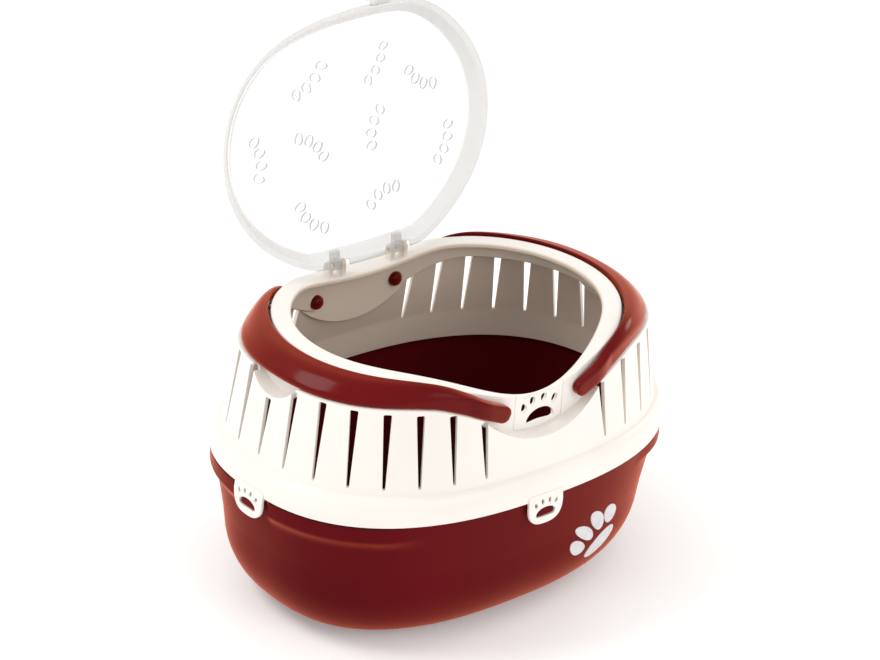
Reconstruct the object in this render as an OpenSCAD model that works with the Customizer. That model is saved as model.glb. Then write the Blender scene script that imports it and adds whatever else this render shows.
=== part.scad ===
// Plastic pet keeper: an oval tub, a slotted upper shell clipped onto it,
// a clear hinged lid over the top opening, and two folding handles.
// X runs along the length, -Y is the front with the lid latch, and Z = 0
// is the floor. The lid is drawn open on its stop and the handles folded.

/* [Body] */
// Length over the skirt of the upper shell
body_l = 300; // [296:1:306]
// Width over the skirt of the upper shell
body_w = 216; // [213:1:220]
// Height of the skirt's lower edge above the floor
skirt_z = 95; // [92:1:98]
// Wall thickness of the tub
tub_wall = 2.5; // [2:0.1:3]
// Wall thickness of the upper shell
shell_wall = 2.5; // [2.2:0.1:2.8]

/* [Rim] */
// Height of the rim at the two ends
rim_z = 178.3; // [177:0.1:180]
// How far the rim dips at the front, over the latch
front_dip = 22; // [21:0.1:24]
// How far the rim dips at the back, under the hinge
back_dip = 7.3; // [6.5:0.1:8]
// Width of the rim at the two ends
rim_w = 12.2; // [11:0.1:13]

/* [Slots] */
// Width of a vent slot at its top
slot_top_w = 5; // [4:0.1:6]
// Width of a vent slot at its bottom
slot_bot_w = 1.8; // [1.4:0.1:2.4]

/* [Lid] */
// Angle of the open lid from its closed place
lid_open = 99; // [0:1:100]
// Wall thickness of the lid
lid_wall = 1.7; // [1.5:0.1:2]
// Height of the lid's crown above its flange
lid_rise = 8.6; // [7.5:0.1:9]

/* [Handles] */
// Distance of a handle's pivot from the middle
pivot_x = 32; // [31:0.1:33]
// Height of the handles' pivots
pivot_z = 151.8; // [151:0.1:153]
// Radius of a handle pin
pin_r = 3; // [2.5:0.1:3.2]

/* [Clips] */
// Width of a body clip
clip_w = 27; // [24:0.5:28]
// How far a clip reaches below the skirt
clip_drop = 16.5; // [15:0.5:17.5]
// How far the front and back clips sit off the middle
clip_dx = 7; // [0:0.5:8]
// How far the end clips sit off the middle
clip_dy = -1; // [-4:0.5:8]

/* [Hidden] */

N = 72;                    // points around each oval
A = body_l / 2;
B = body_w / 2;
zs = skirt_z;
rin_a = A - 48.3;          // inner edge of the rim
rin_b = B - 23.1;
rin_n = 2.03;
plate_f = 87;              // outer face of the flat pivot plate in front
plate_r = 91;              // and of the one behind
plate_t = 2.2;
pock_f = 65;               // round lower edges of the two plates
pock_b = 62.5;
pock_z = rim_z + 18.2;
hinge_y = 80;
hinge_z = rim_z + 1.0;
lug_r = 3.2;
latch_w = 19.2;            // half width of the latch tongue
scoop_r = 25;              // finger recess under each handle
scoop_z = 180;
bar_h = 11;                // handle bar beside the pivot plates
bar_f = 5.6;               // its thickness in front and behind
bar_b = 3.9;
function plate(t) = t < 0 ? plate_f : plate_r;
TH = [for (i = [0:N-1]) i * 360 / N];

red = [0.45, 0.08, 0.07];
white = [0.95, 0.94, 0.92];
clear = [0.92, 0.94, 0.96, 0.35];
silver = [0.86, 0.85, 0.86];

// ---- ovals -------------------------------------------------------------
function tanh_(v) = (exp(2 * v) - 1) / (exp(2 * v) + 1);
function step_(v) = let (c = min(max(v, 0), 1)) c * c * (3 - 2 * c);
// radius of the oval |x/a|^n + |y/b|^n = 1 in the direction th
function orad(a, b, n, th) =
    pow(pow(abs(cos(th)) / a, n) + pow(abs(sin(th)) / b, n), -1 / n);
function oval(a, b, n, z) = [for (th = TH) let (r = orad(a, b, n, th))
    [r * cos(th), r * sin(th), z]];

// ---- saddle-shaped rim -----------------------------------------------------
function rim_x(th) = orad(rin_a, rin_b, rin_n, th) * cos(th);
function rim_y(th) = orad(rin_a, rin_b, rin_n, th) * sin(th);
function rim_top(th) = let (u = rim_x(th) / rin_a,
        w = 0.5 - 0.5 * tanh_(3 * rim_y(th) / rin_b))
    rim_z - (front_dip * w + back_dip * (1 - w)) * pow(max(1 - u * u, 0), 3.28);
function rim_in(th, off = 0) = let (r = orad(rin_a + off, rin_b + off, rin_n, th),
        y = r * sin(th), k = 66 + off)
    [r * cos(th), y > k ? k + 8.5 * tanh_((y - k) / 8.5) : y];
function rim_wid(th) = 5 + (rim_w - 5) * step_((abs(rim_x(th)) - 28) / 42)
    + (rim_y(th) > 0 ? 4 * (1 - step_((abs(rim_x(th)) - 44) / 22)) : 0);
function rim_out(th, off = 0) = let (w = rim_wid(th) + off,
        r = orad(rin_a + w, rin_b + w, rin_n, th)) [r * cos(th), r * sin(th)];

// lower edge of the folded handles over the distance from the middle
LOW = [[0, 146.3], [32, 146.3], [37, 148.2], [42, 150.5], [51, 154.2], [59, 157.6],
       [67, 160.6], [76, 163.8], [86, 165.2], [96, 165.9], [118, 166.3],
       [134, 166.8], [160, 166.8]];
function low_z(x) = lookup(abs(x), LOW) + rim_z - 178.3;
// upper edge of the folded handles
HIGH = [[0, 157.3], [32, 157.3], [41, 161.3], [50, 165.8], [58, 169.8], [66, 173.6],
        [74, 176.9], [86, 179], [100, 179.6], [160, 179.6]];
function high_z(x) = lookup(abs(x), HIGH) + rim_z - 178.3;
function ledge(th) = let (r = orad(A - 15.2, B - 13.9, 2.49, th)) low_z(r * cos(th)) - 0.5;
function slot_z(th) = let (r = orad(A - 14.9, B - 13.6, 2.49, th), u = r * cos(th) / (A - 14.9))
    min(zs + 64 + 7 * u * u, ledge(th) - 0.9);

function ring(f) = [for (th = TH) f(th)];

// closed skin over rings of points, bottom to top, with flat or pointed ends
module skin(r, bot = undef, top = undef) {
    n = len(r[0]); m = len(r); k = n * m;
    pts = concat([for (q = r) each q], is_undef(bot) ? [] : [bot], is_undef(top) ? [] : [top]);
    t = is_undef(bot) ? k : k + 1;
    polyhedron(points = pts, convexity = 8, faces = concat(
        is_undef(bot) ? [[for (i = [0:n-1]) i]] : [for (i = [0:n-1]) [k, i, (i + 1) % n]],
        [for (j = [0:m-2], i = [0:n-1]) let (e = (i + 1) % n) each
            [[j*n + i, (j+1)*n + i, (j+1)*n + e], [j*n + i, (j+1)*n + e, j*n + e]]],
        is_undef(top) ? [[for (i = [n-1:-1:0]) (m-1)*n + i]]
                      : [for (i = [0:n-1]) [t, (m-1)*n + (i + 1) % n, (m-1)*n + i]]));
}

// ---- tub ----------------------------------------------------------------------
corner_r = 38.6; corner_z = 47.2; wall_in = 2.6; taper = 8;
// how far the lip under the skirt stands out, full at the two ends
function lipness(th) = step_((abs(orad(A, B, 2.45, th) * cos(th)) - 84) / 30);
function tub_in(z) = z >= corner_z ? wall_in + taper * (zs - z) / (zs - corner_z)
    : let (q = asin(min(1, 1 - z / corner_z))) wall_in + taper + corner_r * (1 - cos(q));
function tub_ring(z, ins, lip = 0) = [for (th = TH)
    let (i = ins - lip * lipness(th), r = orad(A - i, B - i, 2.45, th)) [r * cos(th), r * sin(th), z]];
CZ = [for (q = [90, 76, 64, 52, 40, 28, 16, 6]) corner_z * (1 - sin(q))];
module tub_outer(g = 0) {
    skin(concat([for (z = CZ) tub_ring(z - (z < 0.1 ? g : 0), tub_in(z) - g)],
        [tub_ring(62, tub_in(62) - g), tub_ring(75, tub_in(75) - g),
         tub_ring(79, tub_in(79) - g, 0.4), tub_ring(82, tub_in(82) - g, 2.4),
         tub_ring(84.5, tub_in(84.5) - g, 3.4), tub_ring(zs - 1.4, wall_in + 0.2 - g, 1.9),
         tub_ring(zs - 0.5, wall_in - g, 1.2), tub_ring(zs - 0.45, wall_in + 0.1 - g),
         tub_ring(zs + 12, wall_in + 0.4 - g)]));
}
module tub_inner() {
    w = tub_wall;
    skin(concat([for (z = CZ) tub_ring(z < 0.1 ? w : z + w * (1 - z / corner_z) * 0.8,
            (z < 0.1 ? tub_in(0) : tub_in(z)) + w * (z < 0.1 ? 0.5 : 1))],
        [tub_ring(62, tub_in(62) + w), tub_ring(79, tub_in(79) + w),
         tub_ring(zs, wall_in + w - 0.2), tub_ring(zs + 20, wall_in + w - 0.2)]));
}
// places things on the outside of the skirt: s = side, u across, z up
module at_side(s) {
    if (s == "front") translate([-clip_dx, -B, 0]) children();
    if (s == "back") rotate([0, 0, 180]) translate([-clip_dx, -B, 0]) children();
    if (s == "left") rotate([0, 0, -90]) translate([-clip_dy, -A, 0]) children();
    if (s == "right") rotate([0, 0, 90]) translate([-clip_dy, -A, 0]) children();
}
SIDES = ["front", "back", "left", "right"];
// kidney-shaped pad, w wide and h thick, bent down at its ends
function bean(w, h, bend, g = 0) = [for (t = [0:15:345])
    let (c = sign(cos(t)) * pow(abs(cos(t)), 0.75), s = sign(sin(t)) * pow(abs(sin(t)), 0.75))
    [(w / 2 - g) * c, (h / 2 - g) * s + bend * (1 - 2.2 * c * c)]];
// egg-shaped toe, its narrow end up where k is over 0
function egg(w, h, k = 0.2) = [for (t = [0:24:336]) let (c = cos(t), s = sin(t))
    [w / 2 * c * (1 - k * s), h / 2 * s]];
// clip outline in X and Y, top edge at y = 4
function clip_line(g = 0) = concat([for (t = [0:12:180]) let (c = cos(t), s = sin(t))
    [-(clip_w / 2 + g) * sign(c) * pow(abs(c), 2 / 2.7),
     -3 - (clip_drop - 3 + g) * pow(abs(s), 2 / 2.7)]],
    [[clip_w / 2 + g, 4 + g], [-clip_w / 2 - g, 4 + g]]);

module base_tub() {
    color(red) {
        difference() {
            tub_outer();
            tub_inner();
            // flat behind each end clip, where the lip is left out
            for (s = ["left", "right"]) at_side(s)
                translate([-clip_w / 2 - 1.5, -2, zs - 19]) cube([clip_w + 3, 5.4, 20]);
        }
        // bosses that the clips' pad holes catch on
        for (s = SIDES) at_side(s)
            translate([0, 0, zs - 9]) rotate([90, 0, 0])
                translate([0, 0, -5.5]) linear_extrude(5.6) polygon(bean(15, 6.2, 0.5, 0.75));
    }
}

// ---- upper shell ------------------------------------------------------------
module shell_outer() {
    skin([
        oval(A - 0.6, B - 0.6, 2.45, zs), oval(A, B, 2.45, zs + 6),
        oval(A - 0.9, B - 1.3, 2.45, zs + 12.5), oval(A - 2.4, B - 3.4, 2.45, zs + 15.8),
        oval(A - 4.2, B - 5.6, 2.45, zs + 17), oval(A - 6.4, B - 6.3, 2.43, zs + 17.6),
        oval(A - 7.1, B - 6.5, 2.41, zs + 21.4),
        [for (th = TH) let (r = orad(A - 10.9, B - 10, 2.45, th))
            [r * cos(th), r * sin(th), (zs + 21.4 + slot_z(th)) / 2]],
        [for (th = TH) let (r = orad(A - 14.9, B - 13.6, 2.49, th)) [r * cos(th), r * sin(th), slot_z(th)]],
        [for (th = TH) let (r = orad(A - 15.2, B - 13.9, 2.49, th)) [r * cos(th), r * sin(th), ledge(th) - 0.6]],
        [for (th = TH) let (r = orad(A - 16.6, B - 15.2, 2.49, th)) [r * cos(th), r * sin(th), ledge(th)]],
        [for (th = TH) let (p = rim_out(th, 1)) [p[0], p[1], ledge(th) + 0.15]],
        [for (th = TH) let (p = rim_out(th)) [p[0], p[1], rim_top(th) - 1.6]],
        [for (th = TH) let (p = rim_out(th, -1.5)) [p[0], p[1], rim_top(th)]],
        [for (th = TH) let (p = rim_in(th, 1.3)) [p[0], p[1], rim_top(th)]],
        [for (th = TH) let (p = rim_in(th, -1)) [p[0], p[1], rim_top(th) - 2]]],
        top = [0, 0, rim_z - 12]);
}
module shell_inner() {
    w = shell_wall;
    skin([
        oval(A - 2.2, B - 2.2, 2.45, zs - 3), oval(A - 2.2, B - 2.2, 2.45, zs + 2),
        oval(A - 7.1 - w, B - 6.5 - w, 2.41, zs + 2), oval(A - 7.1 - w, B - 6.5 - w, 2.41, zs + 21.4),
        [for (th = TH) let (r = orad(A - 10.9 - w, B - 10 - w, 2.45, th))
            [r * cos(th), r * sin(th), (zs + 21.4 + slot_z(th)) / 2]],
        [for (th = TH) let (r = orad(A - 14.9 - w, B - 13.6 - w, 2.49, th)) [r * cos(th), r * sin(th), slot_z(th) - 0.8]],
        [for (th = TH) let (r = orad(A - 16.3 - w, B - 14.8 - w, 2.49, th)) [r * cos(th), r * sin(th), ledge(th) - w]],
        [for (th = TH) let (p = rim_out(th, -1.6)) [p[0], p[1], ledge(th) + 0.6 - w]],
        [for (th = TH) let (p = rim_out(th, -2.6)) [p[0], p[1], rim_top(th) - 4.2]],
        [for (th = TH) let (p = rim_in(th, 0.4)) [p[0], p[1], rim_top(th) - 3.2]],
        [for (th = TH) let (p = rim_in(th)) [p[0], p[1], rim_top(th) - 2.8]],
        [for (th = TH) let (p = rim_in(th)) [p[0], p[1], rim_top(th) + 4]],
        [for (th = TH) let (p = rim_in(th)) [p[0], p[1], rim_z + 24]]]);
}
// flat pivot plate pockets in the front and back walls
module plate_pocket(g) {
    for (s = [-1, 1]) translate([0, s * (plate(s) - g + 20), pock_z]) rotate([90, 0, 0])
        cylinder(r = (s < 0 ? pock_f : pock_b) + g, h = 40, center = true, $fn = 96);
}
// finger recesses in the end walls, under the handles
module scoops(x, r) {
    for (s = [-1, 1]) translate([s * (x + 15), 0, scoop_z]) rotate([0, 90, 0])
        cylinder(r = r, h = 30, center = true, $fn = 64);
}
module channel() {
    difference() {
        skin([oval(A - 2.2, B - 2.2, 2.45, zs + 1), oval(A - 2.4, B - 2.4, 2.45, zs + 12.05)]);
        skin([oval(A - 7.3, B - 6.7, 2.41, zs), oval(A - 7.3, B - 6.7, 2.41, zs + 13)]);
    }
}
module shell_raw() {
    difference() {
        shell_outer();
        plate_pocket(0);
        scoops(A - 23, scoop_r);
        channel();
        difference() {
            shell_inner();
            plate_pocket(plate_t);
            scoops(A - 23 - 2.2, scoop_r + 2.2);
        }
    }
}
// the tongue that the latch is cut from
module latch_zone(g = 0) {
    intersection() {
        translate([-latch_w + g, -93, 130]) cube([2 * (latch_w - g), 14, 50]);
        translate([0, -86, pock_z]) rotate([90, 0, 0]) cylinder(r = pock_f - 1 - g, h = 20, center = true, $fn = 120);
    }
}
// directions of each slot's foot and head in one quarter
SLOTS = [[64, 62.9], [53.6, 52.1], [43.9, 42.6], [34.9, 34], [26.2, 25.6], [17.5, 17.3], [8.7, 8.7]];
// the slot in the middle of each end stops under the finger recess
function slot_top(th) = abs(sin(th)) < 0.05 ? min(slot_z(th), scoop_z - scoop_r - 2) : slot_z(th);
module slot_cut(tf, th) {
    r0 = orad(A - 7.1, B - 6.5, 2.41, tf);
    r1 = orad(A - 14.9, B - 13.6, 2.49, th);
    // direction of the wall's normal, from the oval's gradient
    gx = pow(abs(cos(tf)) * r0 / (A - 7.1), 1.41) / (A - 7.1) * sign(cos(tf));
    gy = pow(abs(sin(tf)) * r0 / (B - 6.5), 1.41) / (B - 6.5) * sign(sin(tf));
    na = atan2(gy, gx);
    z0 = zs + 21.4; z1 = slot_top(th);
    function q(r, t, w, z) = [for (k = [[-4.5, -w], [3, -w], [3, w], [-4.5, w]])
        [r * cos(t) + k[0] * cos(na) - k[1] / 2 * sin(na), r * sin(t) + k[0] * sin(na) + k[1] / 2 * cos(na), z]];
    skin([q(r0, tf, slot_bot_w, z0), q(r1, th, slot_top_w, z1)]);
}
module hinge_lugs() {
    for (s = [-1, 1], x = [18.3, 28.6]) translate([s > 0 ? x : -x - 3.1, 0, 0]) {
        translate([0, hinge_y, hinge_z]) rotate([0, 90, 0]) cylinder(r = lug_r, h = 3.1, $fn = 48);
        translate([0, hinge_y - lug_r, rim_z - 9]) cube([3.1, 2 * lug_r, hinge_z - rim_z + 9]);
    }
}
module upper_shell() {
    color(white) difference() {
        union() { shell_raw(); hinge_lugs(); }
        latch_zone();
        for (t = SLOTS) {
            slot_cut(t[0], t[1]); slot_cut(180 - t[0], 180 - t[1]);
            slot_cut(180 + t[0], 180 + t[1]); slot_cut(-t[0], -t[1]);
        }
        slot_cut(0, 0); slot_cut(180, 180);
        for (s = SIDES) at_side(s)
            translate([-clip_w / 2 - 0.35, -2, zs - 2]) cube([clip_w + 0.7, 5, 6.35]);
        // bores for the handle pins and for the lid's hinge pins
        for (s = [-1, 1], t = [-1, 1]) {
            translate([s * pivot_x, t * (plate(t) - 2), pivot_z]) rotate([90, 0, 0])
                cylinder(r = pin_r + 0.08, h = 8, center = true, $fn = 48);
            translate([s * pivot_x, t * (plate(t) - plate_t - 6), pivot_z]) rotate([90, 0, 0])
                cylinder(r = 5.3, h = 12, center = true, $fn = 48);
        }
        translate([-40, hinge_y, hinge_z]) rotate([0, 90, 0]) cylinder(r = 1.5, h = 80, $fn = 32);
    }
}

// ---- body clips -------------------------------------------------------------
module clip(s) {
    color(white) intersection() {
        difference() {
            skin([oval(A + 0.9, B + 0.9, 2.45, zs - 20), oval(A + 0.9, B + 0.9, 2.45, zs + 2),
                  oval(A + 0.1, B + 0.1, 2.45, zs + 10)]);
            skin([oval(A - 1.3, B - 1.3, 2.45, zs - 21), oval(A - 1.3, B - 1.3, 2.45, zs + 11)]);
        }
        at_side(s) difference() {
            translate([0, 0, zs]) rotate([90, 0, 0]) translate([0, 0, -12])
                linear_extrude(24) polygon(clip_line());
            translate([0, 0, zs]) rotate([90, 0, 0]) translate([0, 0, -14]) linear_extrude(28) {
                translate([0, -9]) polygon(bean(15, 6.2, 0.5));
                for (k = [[-8, -2.9, 22], [-2.8, -1.4, 8], [2.8, -1.4, -8], [8, -2.9, -22]])
                    translate([k[0], k[1]]) rotate([0, 0, k[2]]) polygon(egg(1.7, 3.2));
            }
        }
    }
}
module clip_front() { clip("front"); }
module clip_back() { clip("back"); }
module clip_left() { clip("left"); }
module clip_right() { clip("right"); }

// ---- lid latch --------------------------------------------------------------
module front_latch() {
    color(white) difference() {
        union() {
            intersection() { shell_raw(); latch_zone(0.35); }
            // bead that the lid's catch snaps under
            difference() {
                translate([-12, -plate_f, rim_z - front_dip - 1.3]) rotate([0, 90, 0])
                    cylinder(r = 0.7, h = 24, $fn = 32);
                translate([-13, -plate_f + 0.3, 140]) cube([26, 4, 40]);
            }
        }
        translate([0, -79, 0]) rotate([90, 0, 0]) linear_extrude(16) {
            translate([2, 139.6]) polygon(bean(22, 8.6, 1.3));
            for (k = [[-11.8, 148.2, 20, 0.35], [-5, 151.1, 10, -0.1], [3.8, 151, -6, -0.4], [12.6, 148.5, -16, -0.1]])
                translate([k[0], k[1]]) rotate([0, 0, k[2]]) polygon(egg(4.4, 6.6, k[3]));
        }
    }
}

// ---- lid ----------------------------------------------------------------------
lid_a = A - 44.9; lid_b = B - 21.2; lid_n = 2.03; lid_gap = 0.5;
lid_mid = rim_z + 5.5;     // height of the crown in the middle
function lid_xy(th, ins) = let (r = orad(lid_a - ins, lid_b - ins, lid_n, th))
    [r * cos(th), min(r * sin(th), hinge_y - ins)];
function lid_ring(ins, dz) = [for (th = TH) let (p = lid_xy(th, ins)) [p[0], p[1], rim_top(th) + dz]];
function crown(s, dz) = [for (th = TH) let (p = lid_xy(th, 10.5), ze = rim_top(th) + lid_gap + lid_rise + 1.7)
    [p[0] * s, p[1] * s, lid_mid + (ze - lid_mid) * s * s + 1.5 * (1 - s * s) + dz]];
module lid_body() {
    g = lid_gap; w = lid_wall; h = lid_rise;
    skin(concat(
        [crown(0.3, -w), crown(0.6, -w), crown(0.85, -w)],
        [lid_ring(11.2, g + h + 1.7 - w), lid_ring(9.4, g + h - 0.2), lid_ring(6.4, g + 3.4),
         lid_ring(4.6, g + 0.2), lid_ring(4.4, g), lid_ring(0, g), lid_ring(0, g + 1.4),
         lid_ring(0.5, g + w), lid_ring(3.2, g + w + 0.1), lid_ring(4.8, g + 3.8),
         lid_ring(7.6, g + h), lid_ring(8.8, g + h + 1.2), lid_ring(10.5, g + h + 1.7)],
        [crown(0.85, 0), crown(0.6, 0), crown(0.3, 0)]),
        bot = [0, 0, lid_mid + 1.5 - w], top = [0, 0, lid_mid + 1.5]);
}
// paw-shaped vents: place of the toes and the way they point
PAWS = [[-33.5, -38.6, 46], [17.5, -40.8, 26], [54.9, -22.2, 122], [14.9, 0, 200],
        [74.8, 23.3, 24], [-33, 1.5, -51], [-73, 2.8, -5], [-37.8, 49.2, 135], [19.4, 43.7, -107]];
module paw_toes(w, h) {
    for (q = [-30, -10, 10, 30]) rotate([0, 0, q]) translate([0, 23.5]) polygon(egg(w, h));
}
module opened() {
    translate([0, hinge_y, hinge_z]) rotate([-lid_open, 0, 0]) translate([0, -hinge_y, -hinge_z]) children();
}
module lid() {
    color(clear) opened() difference() {
        union() {
            lid_body();
            for (s = [-1, 1]) translate([s * 25 - 3.2, 0, 0]) {
                translate([0, hinge_y, hinge_z]) rotate([0, 90, 0]) cylinder(r = 3.4, h = 6.4, $fn = 48);
                translate([0, hinge_y - 9.2, hinge_z - 1.4]) cube([6.4, 9.2, 3]);
            }
        }
        for (s = [-1, 1]) {
            for (x = [17.9, 28.2]) translate([s > 0 ? x : -x - 3.9, hinge_y - 4, rim_z - 12]) cube([3.9, 8, 30]);
            translate([s * 25 - 3.6, hinge_y - 3.7, rim_z - 12]) cube([7.2, 6, 9.2]);
        }
        translate([-30, hinge_y, hinge_z]) rotate([0, 90, 0]) cylinder(r = 1.56, h = 60, $fn = 32);
        for (p = PAWS) translate([p[0], p[1], rim_z - 20]) rotate([0, 0, p[2] - 90])
            translate([0, -22.4]) linear_extrude(50) paw_toes(5.4, 7.6);
    }
}
module lid_catch() {
    zf = rim_z - front_dip;      // rim height at the front
    color(clear) opened() difference() {
        translate([5, 0, 0]) difference() {
            union() {
                translate([-7, -plate_f - 3.4, zf + lid_gap + lid_wall + 1.2]) cube([14, 6.2, 1.7]);
                translate([-7, -plate_f - 3.4, zf]) cube([14, 2, lid_gap + lid_wall + 2.9]);
                translate([-12, -plate_f - 3.4, zf - 6.5]) cube([24, 2, 9.2]);
                translate([12, -plate_f - 1.5, zf - 6.5]) rotate([0, -90, 0])
                    linear_extrude(24) polygon([[0, 0], [0, 0.4], [2.6, 1], [4, 1], [4, 0]]);
            }
            translate([-4, -plate_f - 5, zf - 3.4]) cube([8, 5, 4.2]);
        }
        // clear of the lid's own flange
        translate([0, 0, 0.1]) lid_body();
    }
}
module hinge_pin(s) {
    color(white) translate([s * 25 - 6.7, hinge_y, hinge_z]) rotate([0, 90, 0])
        cylinder(r = 1.5, h = 13.4, $fn = 32);
}
module lid_hinge_pin_left() { hinge_pin(-1); }
module lid_hinge_pin_right() { hinge_pin(1); }

// ---- handles ------------------------------------------------------------------
M = 50;
// direction where the bar leaves its end block, in front and behind
th_f = atan2(plate_f + 0.45, pivot_x + 2.5);
th_b = atan2(plate_r + 0.45, pivot_x + 2.5);
// directions along one handle, closer together near the two pivots
HT = [for (i = [0:M]) let (t = i / M, q = 2 * (t - 0.045 * sin(360 * t)) - 1) q < 0 ? -q * -th_b : q * th_f];
// inner face stands off the rim so that the handle can swing up past it
CLR_F = [[0, 0], [56, 0], [70, 0.2], [100, 0.5], [160, 0.5]];
CLR_B = [[0, 0], [50, 0], [57, 1.2], [62, 1.7], [70, 1.6], [78, 1], [90, 0.6], [100, 0.5], [160, 0.5]];
// one section, in radius and height, for direction d; negative is behind
function handle_sec(th) = let (
        pl = th < 0 ? plate_r : plate_f, bt = th < 0 ? bar_b : bar_f,
        s = max(abs(sin(th)), 0.3),
        ro0 = orad(A - 16.2, B - 14, 2.4, th), x = ro0 * cos(th),
        k = step_((abs(x) - 38) / 20),
        ri = max((pl + 0.45) / s, norm(rim_out(-th, 1.4))) * (1 - k) + norm(rim_out(-th, 1.4)) * k
            + lookup(abs(x), th < 0 ? CLR_B : CLR_F),
        ro = max((pl + 0.15 + bt) / s * (1 - k) + ro0 * k, ri + bt - 0.3),
        W = ro - ri, H = high_z(x) - low_z(x),
        m = 4.5 - 2.5 * k,
        e = step_((abs(x) - 36) / 6),
        wi = 0.15 * (1 - k) + max(W - 4.6, 0.6) * k,
        hi = (1 - 0.2 / H) * (1 - k) + (1 - 5 / H) * k,
        pts = concat([for (q = [0, 18, 36, 54, 72, 90]) [ri + W * pow(sin(q), 2 / m), pow(cos(q), 2 / m)]],
                     [for (q = [90, 68, 45, 22, 0]) [ri + wi * pow(sin(q), 2 / m), hi * pow(cos(q), 2 / m)]]))
    [for (p = pts) let (xe = p[0] * cos(th) * (1 - e) + x * e) [p[0], low_z(xe) + (high_z(xe) - low_z(xe)) * p[1]]];
module handle_blank() {
    skin([for (th = HT) [for (p = handle_sec(th)) [-p[0] * cos(th), -p[0] * sin(th), p[1]]]]);
    // end blocks, round about the pivots
    r = bar_h / 2;
    for (s = [-1, 1]) let (bt = s < 0 ? bar_f : bar_b)
        translate([0, s * (plate(s) + 0.3 + bt / 2), 0]) rotate([90, 0, 0])
            linear_extrude(bt, center = true) polygon(concat(
                [for (q = [90:-10:-90]) [-pivot_x + r * cos(q), pivot_z + r * sin(q)]],
                [for (x = [2.5, 5, 8.8]) [-pivot_x - x, low_z(pivot_x + x) - 0.15]],
                [for (x = [8.8, 5, 2.5]) [-pivot_x - x, high_z(pivot_x + x) + 0.15]]));
}
module handle(s) {
    color(red) mirror([s > 0 ? 1 : 0, 0, 0]) difference() {
        handle_blank();
        for (t = [-1, 1]) translate([-pivot_x, t * (plate(t) + 1.5), pivot_z]) rotate([90, 0, 0])
            cylinder(r = pin_r + 0.01, h = 3.7, center = true, $fn = 48);
    }
}
module handle_left() { handle(-1); }
module handle_right() { handle(1); }
// snap pin: a domed head inside the wall and a shank into the handle's end
module handle_pin(s, t) {
    color(red) translate([s * pivot_x, t * (plate(t) + 3.2), pivot_z]) rotate([t * 90, 0, 0])
        rotate_extrude($fn = 48) polygon([[0, 0], [pin_r, 0], [pin_r, 5.7], [4.8, 5.7], [4.8, 7.2],
            [4.4, 8.4], [3.4, 9.3], [1.9, 9.8], [0, 9.9]]);
}
module handle_pin_left_front() { handle_pin(-1, -1); }
module handle_pin_left_rear() { handle_pin(-1, 1); }
module handle_pin_right_front() { handle_pin(1, -1); }
module handle_pin_right_rear() { handle_pin(1, 1); }

// ---- badge on the tub: a bare pad and four toes ---------------------------------
badge_th = -56.5;
module badge_skin() {
    difference() { tub_outer(0.75); tub_outer(0.03); }
}
module badge_at() {
    // looks along the tub's surface normal on the front right
    translate([58.5, -91.5, 40]) rotate([0, 0, 14]) rotate([76, 0, 0]) rotate([0, 0, -27]) children();
}
// oval from its middle and its long and short diameters, narrower towards the end of the long one
function leaf(c, d, e, k) = [for (t = [0:15:345])
    c + d / 2 * cos(t) + e / 2 * sin(t) * (1 - k * cos(t))];
TOES = [[[-20.8, -9.7], [13.7, 3.8], [9.1, -8.2]], [[-20.5, -0.2], [17, -7.4], [15.4, 3.8]],
        [[-13.4, 8.9], [12.8, -11.1], [15.3, 2.1]], [[-1.4, 14.6], [4.7, -11.9], [14.7, 1.5]]];
module badge_pad() {
    color(silver) intersection() {
        badge_skin();
        badge_at() translate([0, 0, -16]) linear_extrude(40) polygon(leaf([3, -3.3], [15.4, 22.7], [13, -2.6], 0));
    }
}
module badge_toes() {
    color(silver) intersection() {
        badge_skin();
        badge_at() translate([0, 0, -16]) linear_extrude(40)
            for (k = TOES) polygon(leaf(k[0], k[1], k[2], 0.2));
    }
}

base_tub();
upper_shell();
clip_front();
clip_back();
clip_left();
clip_right();
front_latch();
lid();
lid_catch();
lid_hinge_pin_left();
lid_hinge_pin_right();
handle_left();
handle_right();
handle_pin_left_front();
handle_pin_left_rear();
handle_pin_right_front();
handle_pin_right_rear();
badge_pad();
badge_toes();
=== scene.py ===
import math

import bmesh
import bpy
import numpy as np
from mathutils import Matrix, Vector
from mathutils.bvhtree import BVHTree


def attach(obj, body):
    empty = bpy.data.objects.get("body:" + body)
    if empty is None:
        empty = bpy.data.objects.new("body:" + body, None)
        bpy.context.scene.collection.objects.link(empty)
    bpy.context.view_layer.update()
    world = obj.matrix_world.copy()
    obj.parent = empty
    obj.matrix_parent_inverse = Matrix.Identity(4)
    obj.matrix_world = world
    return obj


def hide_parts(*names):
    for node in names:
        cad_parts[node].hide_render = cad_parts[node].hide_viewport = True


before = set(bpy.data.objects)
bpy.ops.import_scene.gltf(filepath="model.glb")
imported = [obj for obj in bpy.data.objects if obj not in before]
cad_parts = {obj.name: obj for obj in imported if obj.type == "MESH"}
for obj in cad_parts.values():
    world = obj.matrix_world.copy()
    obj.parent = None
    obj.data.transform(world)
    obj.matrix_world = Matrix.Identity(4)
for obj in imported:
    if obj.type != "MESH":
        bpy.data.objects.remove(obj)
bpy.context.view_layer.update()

# ---------------------------------------------------------------- sizes, mm
A, B = 150.0, 108.0
ZS = 95.0
RIN_A, RIN_B, RIN_N = A - 48.3, B - 23.1, 2.03
RIM_Z, FRONT_DIP, BACK_DIP, RIM_W = 178.3, 22.0, 7.3, 12.2
PLATE = {-1: 87.0, 1: 91.0}       # outer faces of the flat plates, front and back
PLATE_T = 2.2
POCK = {-1: 65.0, 1: 62.5}
POCK_Z = RIM_Z + 18.2
HINGE_Y, HINGE_Z = 80.0, RIM_Z + 1.0
LID_OPEN = 99.0
PIVOT_X, PIVOT_Z = 32.0, 151.8
LATCH_W = 19.2
SCOOP_R, SCOOP_Z = 25.0, 180.0
BAR_T = {-1: 5.6, 1: 3.9}
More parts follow.
